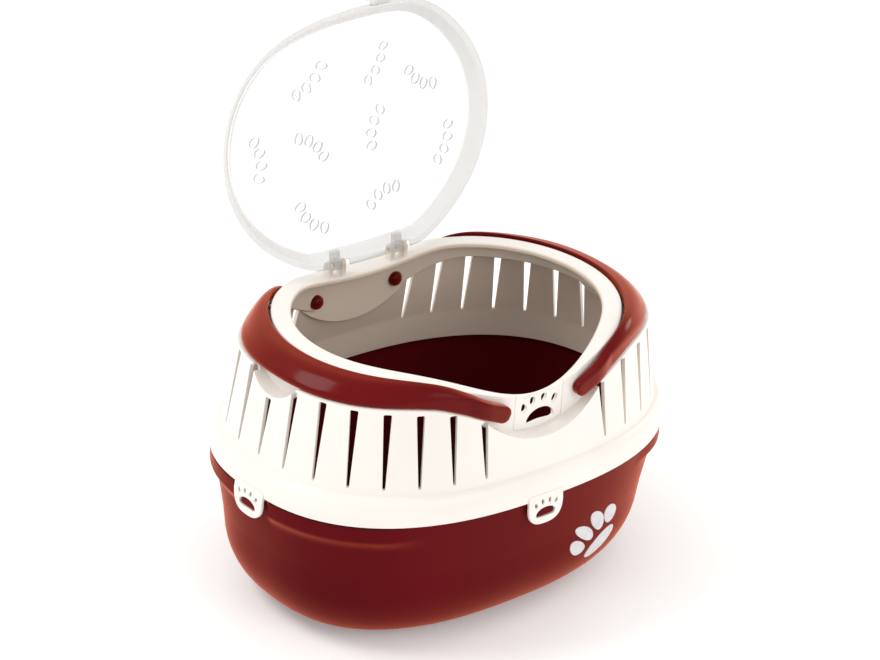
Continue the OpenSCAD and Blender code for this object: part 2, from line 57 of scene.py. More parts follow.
BAR_H = 11.0
CLIP_W, CLIP_DROP, CLIP_DX, CLIP_DY = 27.0, 16.5, 7.0, -1.0
W = 2.5
N = 360
TH = np.arange(N) * 2 * math.pi / N


def sstep(v):
    c = np.clip(v, 0, 1)
    return c * c * (3 - 2 * c)


def orad(a, b, n, th):
    return (np.abs(np.cos(th) / a) ** n + np.abs(np.sin(th) / b) ** n) ** (-1 / n)


def xyz(x, y, z):
    x, y, z = np.broadcast_arrays(x, y, z)
    return np.stack([x, y, z], -1).astype(float)


def oval(a, b, n, z, th=TH):
    r = orad(a, b, n, th)
    return xyz(r * np.cos(th), r * np.sin(th), z)


def rim_x(th):
    return orad(RIN_A, RIN_B, RIN_N, th) * np.cos(th)


def rim_y(th):
    return orad(RIN_A, RIN_B, RIN_N, th) * np.sin(th)


def rim_top(th):
    u = rim_x(th) / RIN_A
    w = 0.5 - 0.5 * np.tanh(3 * rim_y(th) / RIN_B)
    return RIM_Z - (FRONT_DIP * w + BACK_DIP * (1 - w)) * np.maximum(1 - u * u, 0) ** 3.28


def rim_in(th, off, dz):
    r = orad(RIN_A + off, RIN_B + off, RIN_N, th)
    y = r * np.sin(th)
    k = 66 + off
    y = np.where(y > k, k + 8.5 * np.tanh((y - k) / 8.5), y)
    return xyz(r * np.cos(th), y, rim_top(th) + dz)


def rim_wid(th):
    x = np.abs(rim_x(th))
    return 5 + (RIM_W - 5) * sstep((x - 28) / 42) + (rim_y(th) > 0) * 4 * (1 - sstep((x - 44) / 22))


def rim_out(th, off, z):
    w = rim_wid(th) + off
    r = orad(RIN_A + w, RIN_B + w, RIN_N, th)
    return xyz(r * np.cos(th), r * np.sin(th), z)


LOW_X = [0, 34, 37, 42, 51, 59, 67, 76, 86, 96, 118, 134, 160]
LOW_V = [146.5, 146.8, 148.1, 150.4, 154.1, 157.6, 160.6, 163.8, 165.2, 165.9, 166.3, 166.8, 166.8]
HIGH_X = [0, 30, 41, 50, 58, 66, 74, 86, 100, 160]
HIGH_V = [156.9, 156.9, 161.4, 165.7, 169.8, 173.6, 176.9, 179, 179.6, 179.6]


def low_z(x):
    # smoothed lookup of the handles' lower edge
    x = np.abs(x)
    return sum(np.interp(x + d, LOW_X, LOW_V) for d in (-3, -1, 1, 3)) / 4


def high_z(x):
    x = np.abs(x)
    return sum(np.interp(x + d, HIGH_X, HIGH_V) for d in (-6, -4, -2, 0, 2, 4, 6)) / 7


def ledge(th):
    r = orad(A - 15.2, B - 13.9, 2.49, th)
    return low_z(r * np.cos(th)) - 0.5


def slot_z(th):
    u = orad(A - 14.9, B - 13.6, 2.49, th) * np.cos(th) / (A - 14.9)
    return np.minimum(ZS + 64 + 7 * u * u, ledge(th) - 0.9)


# ---------------------------------------------------------------- mesh tools
COL = bpy.context.scene.collection


def make(name, verts, faces):
    me = bpy.data.meshes.new(name)
    me.from_pydata((np.asarray(verts, float) * 0.001).tolist(), [], faces)
    me.update()
    ob = bpy.data.objects.new(name, me)
    COL.objects.link(ob)
    return ob


def loft(rows, bottom=None, top=None, wrap=False, ring=True):
    """Faces over rows of points; ring closes each row, wrap joins last row to first."""
    rows = np.asarray(rows, float)
    R, n, _ = rows.shape
    v = rows.reshape(-1, 3)
    i = np.arange(n if ring else n - 1)
    e = (i + 1) % n
    f = []
    for j in range(R if wrap else R - 1):
        a, b = j * n, ((j + 1) % R) * n
        f += np.stack([a + i, a + e, b + e, b + i], 1).tolist()
    extra = []
    if bottom is not None:
        k = len(v) + len(extra)
        extra.append(bottom)
        f += [[k, int(b_), int(a_)] for a_, b_ in zip(i, e)]
    if top is not None:
        k = len(v) + len(extra)
        extra.append(top)
        o = (R - 1) * n
        f += [[k, int(o + a_), int(o + b_)] for a_, b_ in zip(i, e)]
    if extra:
        v = np.vstack([v, np.array(extra, float)])
    return v, f


def fillet(rows, rad, seg=4, closed=False):
    """Rounds the corners of a profile given as rows of points."""
    rows = [np.asarray(r, float) for r in rows]
    K = len(rows)
    out = []
    for j in range(K):
        r = rad[j]
        if r <= 0 or (not closed and j in (0, K - 1)):
            out.append(rows[j])
            continue
        P, da, db = rows[j], rows[(j - 1) % K] - rows[j], rows[(j + 1) % K] - rows[j]
        la = np.linalg.norm(da, axis=-1, keepdims=True) + 1e-9
        lb = np.linalg.norm(db, axis=-1, keepdims=True) + 1e-9
        S = P + da / la * np.minimum(r, 0.47 * la)
        E = P + db / lb * np.minimum(r, 0.47 * lb)
        for s in np.linspace(0, 1, seg + 1):
            out.append((1 - s) ** 2 * S + 2 * s * (1 - s) * P + s * s * E)
    return np.array(out)


def drop(*obs):
    for o in obs:
        me = o.data
        bpy.data.objects.remove(o, do_unlink=True)
        bpy.data.meshes.remove(me)


def join(name, parts):
    """One mesh object of several (verts, faces) in mm."""
    vs, fs, k = [], [], 0
    for v, f in parts:
        v = np.asarray(v, float)
        vs.append(v)
        fs += [[q + k for q in p] for p in f]
        k += len(v)
    return make(name, np.vstack(vs), fs)


def boolean(ob, cutter, op="DIFFERENCE", keep=False):
    m = ob.modifiers.new("cut", "BOOLEAN")
    m.operation, m.solver, m.object = op, "EXACT", cutter
    dg = bpy.context.evaluated_depsgraph_get()
    me = bpy.data.meshes.new_from_object(ob.evaluated_get(dg))
    ob.modifiers.clear()
    old = ob.data
    ob.data = me
    bpy.data.meshes.remove(old)
    if not keep:
        drop(cutter)
    return ob


def cylinder(r, p, q, n=64):
    """Closed cylinder from p to q, mm, as (verts, faces)."""
    p, q = np.array(p, float), np.array(q, float)
    d = (q - p) / np.linalg.norm(q - p)
    u = np.cross(d, [0, 0, 1.0] if abs(d[2]) < 0.9 else [1.0, 0, 0])
    u /= np.linalg.norm(u)
    w = np.cross(d, u)
    t = np.arange(n) * 2 * math.pi / n
    c = r * (np.cos(t)[:, None] * u + np.sin(t)[:, None] * w)
    return loft([p + c, q + c], bottom=p, top=q)


def box(lo, hi):
    (a, b, c), (d, e, f) = lo, hi
    v = [(a, b, c), (d, b, c), (d, e, c), (a, e, c), (a, b, f), (d, b, f), (d, e, f), (a, e, f)]
    return np.array(v, float), [[0, 3, 2, 1], [4, 5, 6, 7], [0, 1, 5, 4], [1, 2, 6, 5], [2, 3, 7, 6], [3, 0, 4, 7]]


def prism(poly, z0, z1, place=None):
    """Straight prism on a counter-clockwise polygon, optionally through a placing function."""
    p = np.asarray(poly, float)
    n = len(p)
    v = np.vstack([np.column_stack([p, np.full(n, z0)]), np.column_stack([p, np.full(n, z1)])])
    if place is not None:
        v = place(v)
    f = [list(range(n))[::-1], list(range(n, 2 * n))]
    f += [[i, (i + 1) % n, n + (i + 1) % n, n + i] for i in range(n)]
    return v, f


def soften(ob, angle=32, weighted=True):
    """Smooth shading with sharp edges kept, and no loose or zero-area bits."""
    me = ob.data
    bm = bmesh.new()
    bm.from_mesh(me)
    bmesh.ops.remove_doubles(bm, verts=bm.verts, dist=2e-6)
    bmesh.ops.dissolve_degenerate(bm, edges=bm.edges, dist=1e-6)
    loose = [v for v in bm.verts if not v.link_faces]
    bmesh.ops.delete(bm, geom=loose, context="VERTS")
    bmesh.ops.recalc_face_normals(bm, faces=bm.faces)
    for f in bm.faces:
        f.smooth = True
    lim = math.radians(angle)
    for e in bm.edges:
        e.smooth = not (len(e.link_faces) == 2 and e.calc_face_angle(0.0) > lim)
    bm.to_mesh(me)
    bm.free()
    me.update()
    if weighted:
        m = ob.modifiers.new("normals", "WEIGHTED_NORMAL")
        m.keep_sharp = True
        m.weight = 60
    return ob


def bevel(ob, width, angle=40, seg=2):
    m = ob.modifiers.new("bevel", "BEVEL")
    m.width, m.segments, m.limit_method = width * 0.001, seg, "ANGLE"
    m.angle_limit = math.radians(angle)
    m.use_clamp_overlap = True
    dg = bpy.context.evaluated_depsgraph_get()
    me = bpy.data.meshes.new_from_object(ob.evaluated_get(dg))
    ob.modifiers.clear()
    old = ob.data
    ob.data = me
    bpy.data.meshes.remove(old)
    return ob


def settle(ob, body, mat, nodes, angle=32):
    soften(ob, angle)
    ob.data.materials.clear()
    ob.data.materials.append(mat)
    for p in ob.data.polygons:
        p.material_index = 0
    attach(ob, body)
    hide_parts(*nodes)
    return ob


# ---------------------------------------------------------------- materials
def material(name):
    m = bpy.data.materials.new(name)
    m.use_nodes = True
    nt = m.node_tree
    return m, nt, nt.nodes["Principled BSDF"]


def noise(nt, scale, detail=3.0, rough=0.5, coord="Object"):
    tc = nt.nodes.new("ShaderNodeTexCoord")
    n = nt.nodes.new("ShaderNodeTexNoise")
    n.inputs["Scale"].default_value = scale
    n.inputs["Detail"].default_value = detail
    n.inputs["Roughness"].default_value = rough
    nt.links.new(tc.outputs[coord], n.inputs["Vector"])
    return n


def ramp(nt, src, stops):
    r = nt.nodes.new("ShaderNodeValToRGB")
    el = r.color_ramp.elements
    while len(el) < len(stops):
        el.new(0.5)
    for e, (p, c) in zip(el, stops):
        e.position = p
        e.color = (*c, 1) if len(c) == 3 else c
    nt.links.new(src, r.inputs["Fac"])
    return r


def span(nt, src, lo, hi):
    r = nt.nodes.new("ShaderNodeMapRange")
    r.inputs["To Min"].default_value = lo
    r.inputs["To Max"].default_value = hi
    r.inputs["From Min"].default_value = 0.3
    r.inputs["From Max"].default_value = 0.7
    nt.links.new(src, r.inputs["Value"])
    return r


def bump(nt, src, strength, dist):
    b = nt.nodes.new("ShaderNodeBump")
    b.inputs["Strength"].default_value = strength
    b.inputs["Distance"].default_value = dist
    nt.links.new(src, b.inputs["Height"])
    return b


def inward(nt, lo=0.05, hi=0.5):
    """1 on faces that look towards the object's own upright axis, 0 on those that look away."""
    tc = nt.nodes.new("ShaderNodeTexCoord")
    flat = nt.nodes.new("ShaderNodeVectorMath")
    flat.operation = "MULTIPLY"
    flat.inputs[1].default_value = (1, 1, 0)
    nt.links.new(tc.outputs["Object"], flat.inputs[0])
    unit = nt.nodes.new("ShaderNodeVectorMath")
    unit.operation = "NORMALIZE"
    nt.links.new(flat.outputs[0], unit.inputs[0])
    dot = nt.nodes.new("ShaderNodeVectorMath")
    dot.operation = "DOT_PRODUCT"
    nt.links.new(unit.outputs[0], dot.inputs[0])
    nt.links.new(tc.outputs["Normal"], dot.inputs[1])
    r = nt.nodes.new("ShaderNodeMapRange")
    r.inputs["From Min"].default_value = -lo
    r.inputs["From Max"].default_value = -hi
    nt.links.new(dot.outputs["Value"], r.inputs["Value"])
    return r, tc


def mix_colour(nt, fac, a, b):
    m = nt.nodes.new("ShaderNodeMix")
    m.data_type = "RGBA"
    nt.links.new(fac, m.inputs["Factor"])
    for key, v in (("A", a), ("B", b)):
        if isinstance(v, tuple):
            m.inputs[key].default_value = (*v, 1)
        else:
            nt.links.new(v, m.inputs[key])
    return m.outputs["Result"]


def white_plastic():
    m, nt, p = material("white_plastic")
    big = noise(nt, 14, 2)
    c = ramp(nt, big.outputs["Fac"], [(0.3, (0.83, 0.79, 0.745)), (0.7, (0.865, 0.83, 0.79))])
    # painted warm bounce light and shade: faces that look inwards get a beige tint
    fac, _ = inward(nt)
    col = mix_colour(nt, fac.outputs[0], c.outputs["Color"], (0.80, 0.69, 0.585))
    nt.links.new(col, p.inputs["Base Color"])
    fine = noise(nt, 900, 3)
    nt.links.new(span(nt, fine.outputs["Fac"], 0.30, 0.40).outputs[0], p.inputs["Roughness"])
    nt.links.new(bump(nt, fine.outputs["Fac"], 0.08, 0.0002).outputs[0], p.inputs["Normal"])
    p.inputs["Specular IOR Level"].default_value = 0.4
    p.inputs["Subsurface Weight"].default_value = 0.12
    p.inputs["Subsurface Radius"].default_value = (1.0, 0.85, 0.7)
    p.inputs["Subsurface Scale"].default_value = 0.002
    return m


def red_plastic(name, dark, light, rough, coat=0.0, scale=9.0, edge=(0.62, 0.10, 0.02), power=2.6, spec=0.3, floor=None, ior=1.45):
    """Red with a painted orange glow towards its outlines, standing in for light that passes through its edges."""
    m, nt, p = material(name)
    big = noise(nt, scale, 2)
    c = ramp(nt, big.outputs["Fac"], [(0.3, dark), (0.72, light)])
    # painted light: the outlines are mixed towards the orange edge colour by facing, standing in for light through the
    # thin edges
    lw = nt.nodes.new("ShaderNodeLayerWeight")
    lw.inputs["Blend"].default_value = 0.5
    pw = nt.nodes.new("ShaderNodeMath")
    pw.operation = "POWER"
    pw.inputs[1].default_value = power
    nt.links.new(lw.outputs["Facing"], pw.inputs[0])
    mix = nt.nodes.new("ShaderNodeMix")
    mix.data_type = "RGBA"
    mix.inputs["B"].default_value = (*edge, 1)
    nt.links.new(pw.outputs[0], mix.inputs["Factor"])
    nt.links.new(c.outputs["Color"], mix.inputs["A"])
    col = mix.outputs["Result"]
    if floor is not None:
        # painted shade: darker brownish red where the inside looks up, on the tub's shaded floor
        tc = nt.nodes.new("ShaderNodeTexCoord")
        sep = nt.nodes.new("ShaderNodeSeparateXYZ")
        nt.links.new(tc.outputs["Normal"], sep.inputs[0])
        up_ = nt.nodes.new("ShaderNodeMapRange")
        up_.inputs["From Min"].default_value = 0.15
        up_.inputs["From Max"].default_value = 0.7
        nt.links.new(sep.outputs["Z"], up_.inputs["Value"])
        col = mix_colour(nt, up_.outputs[0], col, floor)
    nt.links.new(col, p.inputs["Base Color"])
    fine = noise(nt, 700, 3)
    nt.links.new(span(nt, fine.outputs["Fac"], rough - 0.03, rough + 0.05).outputs[0], p.inputs["Roughness"])
    nt.links.new(bump(nt, fine.outputs["Fac"], 0.05, 0.0002).outputs[0], p.inputs["Normal"])
    p.inputs["Specular IOR Level"].default_value = spec
    p.inputs["IOR"].default_value = ior
    p.inputs["Coat Weight"].default_value = coat
    p.inputs["Coat Roughness"].default_value = 0.1
    p.inputs["Coat IOR"].default_value = 1.35
    return m


def clear_plastic(name, veil, tint, gain=0.55, rough=0.15):
    """Thin clear plastic: see-through, a little milky, milkier where it is seen edge on."""
    m, nt, p = material(name)
    out = nt.nodes["Material Output"]
    big = noise(nt, 12, 2)
    c = ramp(nt, big.outputs["Fac"], [(0.3, tuple(v * 0.97 for v in tint)), (0.7, tint)])
    nt.links.new(c.outputs["Color"], p.inputs["Base Color"])
    p.inputs["Specular IOR Level"].default_value = 0.35
    fine = noise(nt, 60, 2)
    nt.links.new(span(nt, fine.outputs["Fac"], rough - 0.03, rough + 0.05).outputs[0], p.inputs["Roughness"])
    tr = nt.nodes.new("ShaderNodeBsdfTransparent")
    tr.inputs["Color"].default_value = (0.99, 0.99, 0.99, 1)
    lw = nt.nodes.new("ShaderNodeLayerWeight")
    lw.inputs["Blend"].default_value = 0.5
    pw = nt.nodes.new("ShaderNodeMath")
    pw.operation = "POWER"
    pw.inputs[1].default_value = 2.2
    nt.links.new(lw.outputs["Facing"], pw.inputs[0])
    amt = nt.nodes.new("ShaderNodeMapRange")
    amt.inputs["To Min"].default_value = veil
    amt.inputs["To Max"].default_value = min(1.0, veil + gain)
    nt.links.new(pw.outputs[0], amt.inputs["Value"])
    mix = nt.nodes.new("ShaderNodeMixShader")
    nt.links.new(amt.outputs[0], mix.inputs[0])
    nt.links.new(tr.outputs[0], mix.inputs[1])
    nt.links.new(p.outputs[0], mix.inputs[2])
    nt.links.new(mix.outputs[0], out.inputs["Surface"])
    return m


def silver_film():
    m, nt, p = material("silver_film")
    fine = noise(nt, 300, 3)
    c = ramp(nt, fine.outputs["Fac"], [(0.3, (0.62, 0.60, 0.63)), (0.7, (0.74, 0.72, 0.75))])
    nt.links.new(c.outputs["Color"], p.inputs["Base Color"])
    nt.links.new(span(nt, fine.outputs["Fac"], 0.28, 0.4).outputs[0], p.inputs["Roughness"])
    p.inputs["Metallic"].default_value = 0.15
    return m


WHITE = white_plastic()
# painted light: each edge colour below is a painted orange glow at the outlines
TUB = red_plastic("tub_red", (0.092, 0.0036, 0.0060), (0.122, 0.0048, 0.008), 0.36, edge=(0.62, 0.09, 0.020), power=3.8,
                  # painted shade: the floor colour darkens the tub's inside floor
                  spec=0.3, floor=(0.032, 0.0105, 0.0085), ior=1.12)
HAND = red_plastic("handle_red", (0.100, 0.0022, 0.0042), (0.138, 0.0035, 0.0052), 0.18, coat=0.12, scale=16,
                   edge=(0.70, 0.105, 0.02), power=2.4, spec=0.3, ior=1.2)
CLEAR = clear_plastic("clear_plastic", 0.07, (0.95, 0.95, 0.95), 0.45)
# painted grey: greyer copies of the clear plastic for the lid's edge-on flanks and vent walls, standing in for the
# reflections seen there
PAINTED_FLANK_GREY = clear_plastic("clear_flank_painted_grey", 0.30, (0.60, 0.585, 0.575), 0.45)
PAINTED_VENT_GREY = clear_plastic("clear_vent_wall_painted_grey", 0.80, (0.50, 0.50, 0.50), 0.15)
CLEAR_THICK = clear_plastic("clear_thick", 0.45, (0.80, 0.79, 0.785))
FILM = silver_film()

# ---------------------------------------------------------------- tub
CORNER_R, CORNER_Z, WALL_IN, TAPER = 38.6, 47.2, 2.6, 8.0


def lipness(th):
    x = np.abs(orad(A, B, 2.45, th) * np.cos(th))
    y = orad(A, B, 2.45, th) * np.sin(th)
    s = sstep((x - 84) / 30)
    # flat behind each end clip
    for cx, cy in ((-1, CLIP_DY), (1, -CLIP_DY)):
        s = s * (1 - (np.sign(np.cos(th)) == cx) * (1 - sstep((np.abs(y - cy) - 14.6) / 1.6)))
    return s


def tub_in(z):
    if z >= CORNER_Z:
        return WALL_IN + TAPER * (ZS - z) / (ZS - CORNER_Z)
    q = math.asin(min(1, 1 - z / CORNER_Z))
    return WALL_IN + TAPER + CORNER_R * (1 - math.cos(q))


def tub_ring(z, ins, lip=0.0):
    i = ins - lip * lipness(TH)
    r = orad(A - i, B - i, 2.45, TH)
    return xyz(r * np.cos(TH), r * np.sin(TH), z)


def build_tub():
    qs = [90, 86, 80, 74, 67, 60, 53, 46, 39, 32, 25, 18, 11, 5]
    zc = [CORNER_Z * (1 - math.sin(math.radians(q))) for q in qs]
    ctrl = [tub_ring(z, tub_in(z)) for z in zc] + [
        tub_ring(54, tub_in(54)), tub_ring(62, tub_in(62)), tub_ring(70, tub_in(70)),
        tub_ring(77.5, tub_in(77.5)), tub_ring(80.5, tub_in(80.5), 1.2), tub_ring(84.5, tub_in(84.5), 3.5),
        tub_ring(ZS - 1.4, WALL_IN + 0.2, 1.9), tub_ring(ZS - 0.5, WALL_IN, 1.1),
        tub_ring(ZS - 0.45, WALL_IN + 0.12), tub_ring(ZS + 12, WALL_IN + 0.4),
        tub_ring(ZS + 12, WALL_IN + 2.2), tub_ring(ZS, WALL_IN + 2.3)]
    rad = [0] * len(zc) + [2, 2, 2, 2.5, 1.6, 1.6, 0.8, 0.3, 0.2, 0.8, 0.8, 4]
    w = 2.5
    inner = [79, 62, 50]
    ctrl += [tub_ring(z, tub_in(z) + w) for z in inner]
    rad += [3] * len(inner)
    for z in zc[::-1]:
        zi = w if z < 0.1 else z + w * (1 - z / CORNER_Z) * 0.8
        ctrl.append(tub_ring(zi, tub_in(max(z, 0)) + w * (0.5 if z < 0.1 else 1)))
        rad.append(0)
    rows = fillet(ctrl, rad, 3)
    ob = make("tub", *loft(rows, bottom=(0, 0, 0), top=(0, 0, w)))
    return ob


def bean(w, h, bend, g=0.0, step=10):
    t = np.radians(np.arange(0, 360, step))
    c = np.sign(np.cos(t)) * np.abs(np.cos(t)) ** 0.8
    s = np.sign(np.sin(t)) * np.abs(np.sin(t)) ** 0.8
    return np.column_stack([(w / 2 - g) * c, (h / 2 - g) * s + bend * (1 - 2.2 * c * c)])


def egg(w, h, k=0.2, step=15):
    t = np.radians(np.arange(0, 360, step))
    c, s = np.cos(t), np.sin(t)
    return np.column_stack([w / 2 * c * (1 - k * s), h / 2 * s])


def turn(p, deg):
    a = math.radians(deg)
    return np.asarray(p) @ np.array([[math.cos(a), math.sin(a)], [-math.sin(a), math.cos(a)]])


SIDES = {"front": (0, CLIP_DX, B), "right": (90, CLIP_DY, A), "back": (180, CLIP_DX, B), "left": (-90, CLIP_DY, A)}


def at_side(s):
    """Places (u, w, z): u across to the side, w out from the wall line."""
    ang, off, dist = SIDES[s]
    a = math.radians(ang)

    def f(v):
        x, y, z = v[:, 0] - off, -dist - v[:, 1], v[:, 2]
        return np.column_stack([x * math.cos(a) - y * math.sin(a), x * math.sin(a) + y * math.cos(a), z])
    return f


def upright(place, y0=0.0):
    """Turns a prism drawn in X, Y with depth Z into one standing on a side wall."""
    def f(v):
        return place(np.column_stack([v[:, 0], v[:, 2], v[:, 1] + y0]))
    return f


def flip(part):
    v, f = part
    return v, [p[::-1] for p in f]


def build_bosses():
    out = []
    for s in SIDES:
        place = upright(at_side(s), ZS - 9)
        rows = []
        for g, d in ((0.75, -5.5), (0.75, -0.3), (0.95, 0.05), (1.3, 0.12)):
            p = bean(15, 6.2, 0.5, g)
            rows.append(place(np.column_stack([p, np.full(len(p), d)])))
        c0 = place(np.array([[0, 0.5, -5.5]]))[0]
        c1 = place(np.array([[0, 0.5, 0.12]]))[0]
        out.append(flip(loft(rows, bottom=c0, top=c1)))
    return out


tub = build_tub()
bosses = join("bosses", build_bosses())
for o_ in (bosses,):
    bm_ = bmesh.new()
    bm_.from_mesh(o_.data)
    bmesh.ops.recalc_face_normals(bm_, faces=bm_.faces)
    bm_.to_mesh(o_.data)
    bm_.free()
boolean(tub, bosses, "UNION")
tub_bvh = BVHTree.FromObject(tub, bpy.context.evaluated_depsgraph_get())


# ---------------------------------------------------------------- upper shell
def build_outer():
    th = TH
    zt = slot_z(th)
    zl = ledge(th)
    top = rim_top(th)
    w0, w1 = oval(A - 7.1, B - 6.5, 2.41, ZS + 21.4), xyz(*oval(A - 14.9, B - 13.6, 2.49, 0).T[:2], zt)
    ctrl = [
        (oval(A - 4, B - 4, 2.45, ZS), 0), (oval(A - 0.55, B - 0.55, 2.45, ZS), 0.5),
        (oval(A, B, 2.45, ZS + 6), 5), (oval(A - 0.9, B - 1.3, 2.45, ZS + 12.5), 3),
        (oval(A - 2.4, B - 3.4, 2.45, ZS + 15.8), 1.6), (oval(A - 4.2, B - 5.4, 2.45, ZS + 17), 1.2),
        (oval(A - 6.5, B - 6.35, 2.43, ZS + 17.4), 1.2), (w0, 2)]
    for s in (0.2, 0.4, 0.6, 0.8):
        ctrl.append((w0 * (1 - s) + w1 * s, 0))
    ctrl += [
        (w1, 0), (xyz(*oval(A - 15.2, B - 13.9, 2.49, 0).T[:2], zl), 1.3),
        (rim_out(th, 1.0, zl + 0.15), 1.0), (rim_out(th, 0.2, top - 1.8), 0),
        (rim_out(th, 0.0, top), 1.6), (rim_in(th, 0.0, 0.0), 1.5), (rim_in(th, 0.0, -5.0), 0),
        (rim_in(th, -4.0, -6.0), 0)]
    rows = fillet([c for c, _ in ctrl], [r for _, r in ctrl], 4)
    return make("shell", *loft(rows, bottom=(0, 0, ZS), top=(0, 0, RIM_Z - 14)))


def build_inner():
    th, w = TH, W
    zt, zl, top = slot_z(th), ledge(th), rim_top(th)
    ctrl = [
        (oval(A - 2.2, B - 2.2, 2.45, ZS - 3), 0), (oval(A - 2.2, B - 2.2, 2.45, ZS + 2), 0),
        (oval(A - 7.1 - w, B - 6.5 - w, 2.41, ZS + 2), 0.6),
        (oval(A - 7.1 - w, B - 6.5 - w, 2.41, ZS + 21.4), 2),
        (xyz(*oval(A - 14.9 - w, B - 13.6 - w, 2.49, 0).T[:2], zt - 0.8), 0),
        (xyz(*oval(A - 16.3 - w, B - 14.8 - w, 2.49, 0).T[:2], zl - w), 1.2),
        (rim_out(th, -1.6, zl + 0.6 - w), 1.0), (rim_out(th, -2.6, top - 4.2), 1.0),
        (rim_in(th, 0.4, -3.2), 0.4), (rim_in(th, 0.06, -2.6), 0), (rim_in(th, 0.06, 4), 0),
        (rim_in(th, 0.06, 0) * [1, 1, 0] + [0, 0, RIM_Z + 26], 0)]
    rows = fillet([c for c, _ in ctrl], [r for _, r in ctrl], 3)
    return make("hollow", *loft(rows, bottom=(0, 0, ZS - 3), top=(0, 0, RIM_Z + 26)))


def pockets(g):
    return [cylinder(POCK[s] + g, (0, s * (PLATE[s] - g), POCK_Z), (0, s * (PLATE[s] - g + 40), POCK_Z), 200)
            for s in (-1, 1)]


def scoops(x, r):
    return [cylinder(r, (s * x, 0, SCOOP_Z), (s * (x + 30), 0, SCOOP_Z), 120) for s in (-1, 1)]


shell = build_outer()
boolean(shell, join("c1", pockets(0) + scoops(A - 23, SCOOP_R)))
inner = build_inner()
boolean(inner, join("c2", pockets(PLATE_T) + scoops(A - 25.2, SCOOP_R + 2.2)))
boolean(shell, inner)
# groove for the tub's rim
g0 = [oval(A - 2.2, B - 2.2, 2.45, ZS + 1), oval(A - 2.4, B - 2.4, 2.45, ZS + 12.3),
      oval(A - 7.3, B - 6.7, 2.41, ZS + 12.3), oval(A - 7.3, B - 6.7, 2.41, ZS + 1)]
boolean(shell, make("groove", *loft(g0, wrap=True)))

# latch blank, taken from the same wall
latch = shell.copy()
latch.data = shell.data.copy()
latch.name = "latch_tongue"
COL.objects.link(latch)


def latch_zone(g, ztop=184):
    # straight sides and a lower edge that follows the plate's round one
    x = np.linspace(-LATCH_W + g, LATCH_W - g, 49)
    r = POCK[-1] - 1 - g
    line = [(a, POCK_Z - math.sqrt(r * r - a * a)) for a in x] + [(LATCH_W - g, ztop), (-LATCH_W + g, ztop)]
    v, f = prism(line, 79, 93, lambda v: np.column_stack([v[:, 0], -v[:, 2], v[:, 1]]))
    return v, f


boolean(latch, make("z1", *latch_zone(0.25)), "INTERSECT")

# everything cut through the wall
SLOTS = [(64, 62.9), (53.6, 52.1), (43.9, 42.6), (34.9, 34), (26.2, 25.6), (17.5, 17.3), (8.7, 8.7)]


def slot_prism(foot, head):
    tf, th = math.radians(foot), math.radians(head)
    r0 = float(orad(A - 7.1, B - 6.5, 2.41, tf))
    r1 = float(orad(A - 14.9, B - 13.6, 2.49, th))
    c, s = math.cos(tf), math.sin(tf)
    gx = (abs(c) * r0 / (A - 7.1)) ** 1.41 / (A - 7.1) * np.sign(round(c, 9))
    gy = (abs(s) * r0 / (B - 6.5)) ** 1.41 / (B - 6.5) * np.sign(round(s, 9))
    na = math.atan2(gy, gx)
    z0, z1 = ZS + 21.4, float(slot_z(np.array([th]))[0])
    if abs(s) < 0.05:                 # under the finger recess
        z1 = min(z1, SCOOP_Z - SCOOP_R - 2)
    h = z1 - z0
    # across and up, with a rounded foot and head
    poly = [(0.9 * math.cos(a), 0.9 + 0.9 * math.sin(a)) for a in np.linspace(math.pi, 2 * math.pi, 7)]
    poly += [(2.5, h - 0.9), (2.25, h - 0.25), (1.6, h), (-1.6, h), (-2.25, h - 0.25), (-2.5, h - 0.9)]
    p0 = np.array([r0 * c, r0 * s])
    p1 = np.array([r1 * math.cos(th), r1 * math.sin(th)])

    def place(v):
        u, k, d = v[:, 0], v[:, 1] / h, v[:, 2]
        q = p0 + (p1 - p0) * k[:, None]
        return np.column_stack([q[:, 0] + d * math.cos(na) - u * math.sin(na),
                                q[:, 1] + d * math.sin(na) + u * math.cos(na), z0 + v[:, 1]])
    return prism(poly, -4.5, 3, place)


cuts = [latch_zone(0.0, 186), slot_prism(0, 0), slot_prism(180, 180)]
for a_, b_ in SLOTS:
    cuts += [slot_prism(a_, b_), slot_prism(180 - a_, 180 - b_), slot_prism(180 + a_, 180 + b_), slot_prism(-a_, -b_)]
for s_ in SIDES:
    hw = CLIP_W / 2 + 0.16
    v_, f_ = box((-hw, -3, ZS - 2), (hw, 2, ZS + 4.16))
    cuts.append((at_side(s_)(v_), f_))
for s_ in (-1, 1):
    for t_ in (-1, 1):
        y_ = PLATE[t_]
        prof = [(5.3, y_ - 14), (5.3, y_ - PLATE_T), (3.08, y_ - PLATE_T), (3.08, y_ + 2)]
        rr = [np.column_stack([s_ * PIVOT_X + r_ * np.cos(a_), np.full(48, t_ * d_), PIVOT_Z + r_ * np.sin(a_)])
              for r_, d_ in prof for a_ in (np.linspace(0, 2 * math.pi, 48, endpoint=False),)]
        cuts.append(loft(rr, bottom=(s_ * PIVOT_X, t_ * (y_ - 14), PIVOT_Z), top=(s_ * PIVOT_X, t_ * (y_ + 2), PIVOT_Z)))
cut_ob = join("cuts", cuts)
bm_ = bmesh.new()
bm_.from_mesh(cut_ob.data)
bmesh.ops.recalc_face_normals(bm_, faces=bm_.faces)
bm_.to_mesh(cut_ob.data)
bm_.free()
boolean(shell, cut_ob)
settle(shell, "body", WHITE, ["upper_shell"], 30)
settle(tub, "body", TUB, ["base_tub"], 30)

